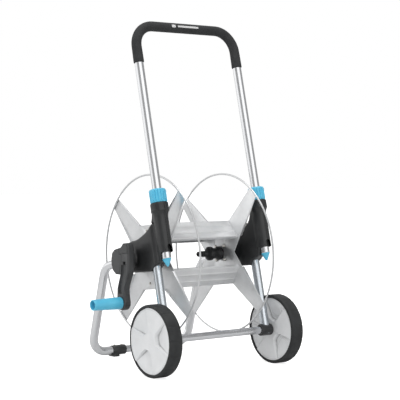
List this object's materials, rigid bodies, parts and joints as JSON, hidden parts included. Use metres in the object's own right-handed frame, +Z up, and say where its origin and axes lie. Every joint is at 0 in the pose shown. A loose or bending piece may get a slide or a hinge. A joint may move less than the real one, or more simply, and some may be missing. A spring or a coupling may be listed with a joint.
{
  "type": "garden hose reel cart",
  "caption": "Two-wheeled garden hose cart: open steel reel with crank and wire rings, tubular frame with foot loop, moulded side housings and a telescopic push handle.",
  "frame": {"origin": "on the floor, midway between the wheels and right below the axle", "axes": "+Z up; X along the wheel axle and the reel axle, crank on the -X side; +Y from the wheels towards the feet"},
  "size_m": [0.536, 0.4786, 0.9368],
  "materials": {
    "aluminium_tube": "polished, anodised clear",
    "galvanised_sheet": "satin, galvanised",
    "ring_wire": "satin, galvanised",
    "axle_steel": "turned",
    "fastener_steel": "zinc plated",
    "black_plastic": "fine moulded grain",
    "crank_plastic": "fine moulded grain",
    "blue_plastic": "semi-gloss moulded",
    "bush_plastic": "natural acetal",
    "grip_foam": "matt foam sleeve",
    "seal_rubber": "smooth nitrile",
    "tyre_rubber": "matt",
    "wheel_plastic": "fine moulded grain"
  },
  "bodies": {
    "frame": {"wheel_leg_left": "aluminium_tube", "wheel_leg_right": "aluminium_tube", "axle_crossbar": "aluminium_tube", "axle_rod": "axle_steel", "axle_clips": "fastener_steel", "axle_bracket_left": "black_plastic", "axle_bracket_right": "black_plastic", "front_leg_left": "aluminium_tube", "front_leg_right": "aluminium_tube", "foot_bar": "aluminium_tube", "foot_sleeve_left": "black_plastic", "foot_sleeve_right": "black_plastic", "foot_screws": "fastener_steel", "housing_outer_left": "black_plastic", "housing_inner_left": "black_plastic", "housing_outer_right": "black_plastic", "housing_inner_right": "black_plastic", "housing_screws": "fastener_steel", "bearing_bush_left": "bush_plastic", "bearing_bush_right": "bush_plastic", "clamp_collet_left": "bush_plastic", "clamp_collet_right": "bush_plastic", "water_inlet": "black_plastic", "inlet_seals": "seal_rubber"},
    "handle": {"handle_tube": "aluminium_tube", "handle_grip": "grip_foam", "handle_plug_left": "blue_plastic", "handle_plug_right": "blue_plastic"},
    "left_nut": {"clamp_nut_left": "blue_plastic"},
    "right_nut": {"clamp_nut_right": "blue_plastic"},
    "reel": {"spider_left": "galvanised_sheet", "spider_right": "galvanised_sheet", "wire_ring_left": "ring_wire", "wire_ring_right": "ring_wire", "drum_beam_upper": "galvanised_sheet", "drum_beam_lower": "galvanised_sheet", "reel_rivets": "fastener_steel", "hub_screws": "fastener_steel", "drive_journal": "black_plastic", "water_journal": "black_plastic", "outlet_nut": "black_plastic", "hose_adapter": "black_plastic", "adapter_seal": "seal_rubber", "crank_arm": "crank_plastic", "crank_cover": "crank_plastic", "crank_cap": "crank_plastic", "crank_screw": "fastener_steel", "crank_pin": "axle_steel"},
    "crank_handgrip": {"crank_grip": "blue_plastic"},
    "left_wheel": {"wheel_hub_left": "wheel_plastic", "wheel_cover_left": "wheel_plastic", "tyre_left": "tyre_rubber"},
    "right_wheel": {"wheel_hub_right": "wheel_plastic", "wheel_cover_right": "wheel_plastic", "tyre_right": "tyre_rubber"}
  },
  "joints": [
    {"name": "handle_slide", "type": "slide", "parent": "frame", "child": "handle", "axis": [0, 0.2402, 0.9707], "range_m": [-0.26, 0]},
    {"name": "left_nut_turn", "type": "hinge", "parent": "frame", "child": "left_nut", "pos_m": [-0.1665, 0.04068, 0.4675], "axis": [0, 0.2402, 0.9707], "range_deg": [0, 180]},
    {"name": "right_nut_turn", "type": "hinge", "parent": "frame", "child": "right_nut", "pos_m": [0.1665, 0.04068, 0.4675], "axis": [0, 0.2402, 0.9707], "range_deg": [0, 180]},
    {"name": "reel_spin", "type": "hinge", "parent": "frame", "child": "reel", "pos_m": [0, 0.137, 0.3005], "axis": [1, 0, 0], "continuous": true},
    {"name": "crank_grip_spin", "type": "hinge", "parent": "reel", "child": "crank_handgrip", "pos_m": [-0.27, 0.13, 0.183], "axis": [1, 0, 0], "continuous": true},
    {"name": "left_wheel_spin", "type": "hinge", "parent": "frame", "child": "left_wheel", "pos_m": [-0.203, 0, 0.095], "axis": [1, 0, 0], "continuous": true},
    {"name": "right_wheel_spin", "type": "hinge", "parent": "frame", "child": "right_wheel", "pos_m": [0.203, 0, 0.095], "axis": [1, 0, 0], "continuous": true}
  ]
}
